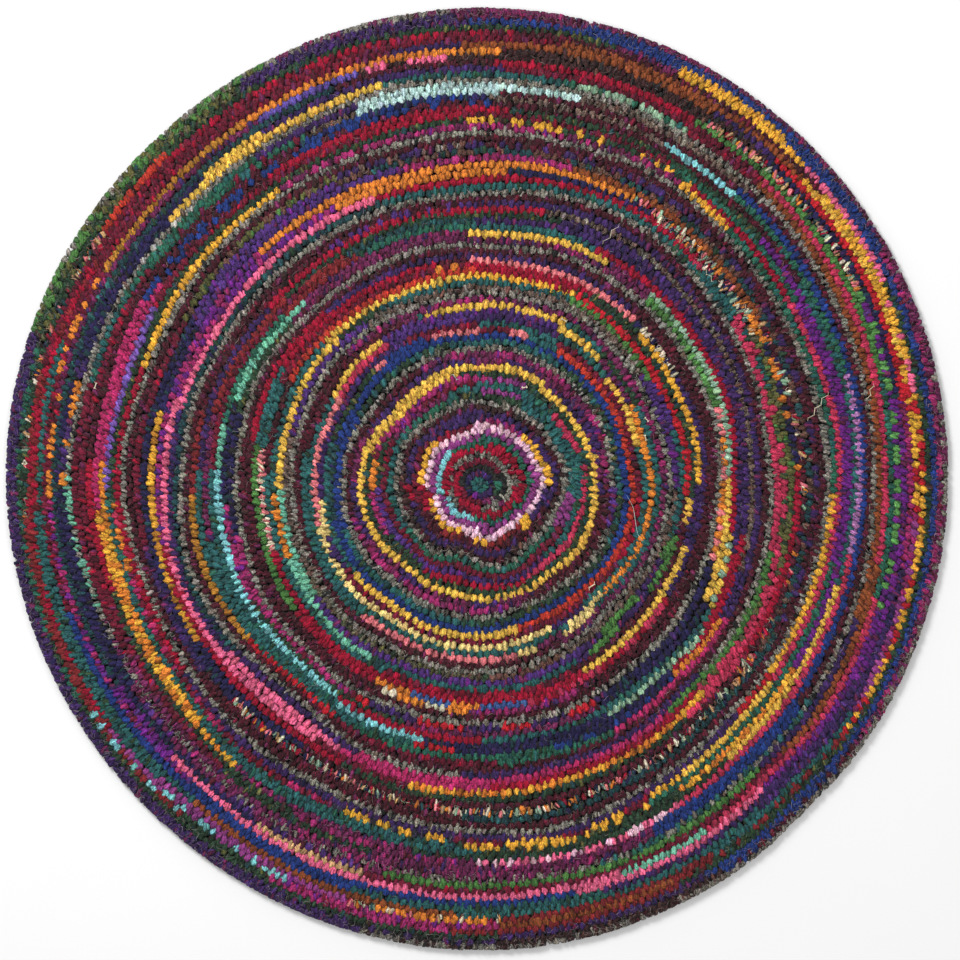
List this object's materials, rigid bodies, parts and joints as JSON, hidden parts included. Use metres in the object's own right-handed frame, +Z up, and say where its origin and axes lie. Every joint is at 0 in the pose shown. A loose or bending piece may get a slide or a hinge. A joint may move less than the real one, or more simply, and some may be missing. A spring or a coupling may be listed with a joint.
{
  "type": "round tufted rug",
  "caption": "Round rug with a chunky looped pile hooked in concentric rounds of mixed bright colours, a little uneven at the rim, lying flat.",
  "frame": {"origin": "on the floor, in the middle of the rug's outline", "axes": "+Z up through the pile; +Y towards the edge that is uppermost when the rug is seen from above; +X to the right of it"},
  "size_m": [1.223, 1.223, 0.013],
  "materials": {
    "yarn": "matte wool and cotton yarn in loops, each round in its own colours, mostly wine, plum, green, blue and grey with runs of gold, pink and orange",
    "backing": "plain woven cotton cloth, natural colour"
  },
  "bodies": {
    "root": {"rug": "yarn"}
  },
  "joints": []
}
